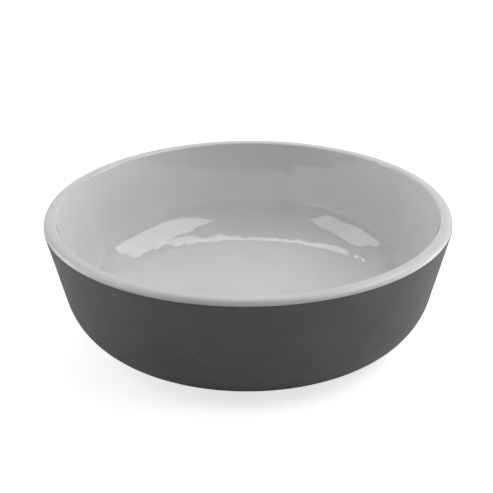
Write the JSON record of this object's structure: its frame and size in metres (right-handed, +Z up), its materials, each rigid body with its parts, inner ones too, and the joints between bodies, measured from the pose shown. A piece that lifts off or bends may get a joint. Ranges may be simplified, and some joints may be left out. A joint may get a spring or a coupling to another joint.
{
  "type": "serving bowl",
  "caption": "Round two-tone serving bowl for chips or dip: white liner with a rounded rim in a dark grey flared shell on a low foot ring.",
  "frame": {"origin": "centre of the plane that the foot ring stands on", "axes": "+Z up along the bowl's axis of revolution, out of its mouth; X and Y are any two level directions, because the bowl is round"},
  "size_m": [0.2, 0.2, 0.065],
  "materials": {
    "white_liner": "gloss",
    "grey_shell": "satin"
  },
  "bodies": {
    "root": {"inner_liner": "white_liner", "outer_shell": "grey_shell"}
  },
  "joints": []
}
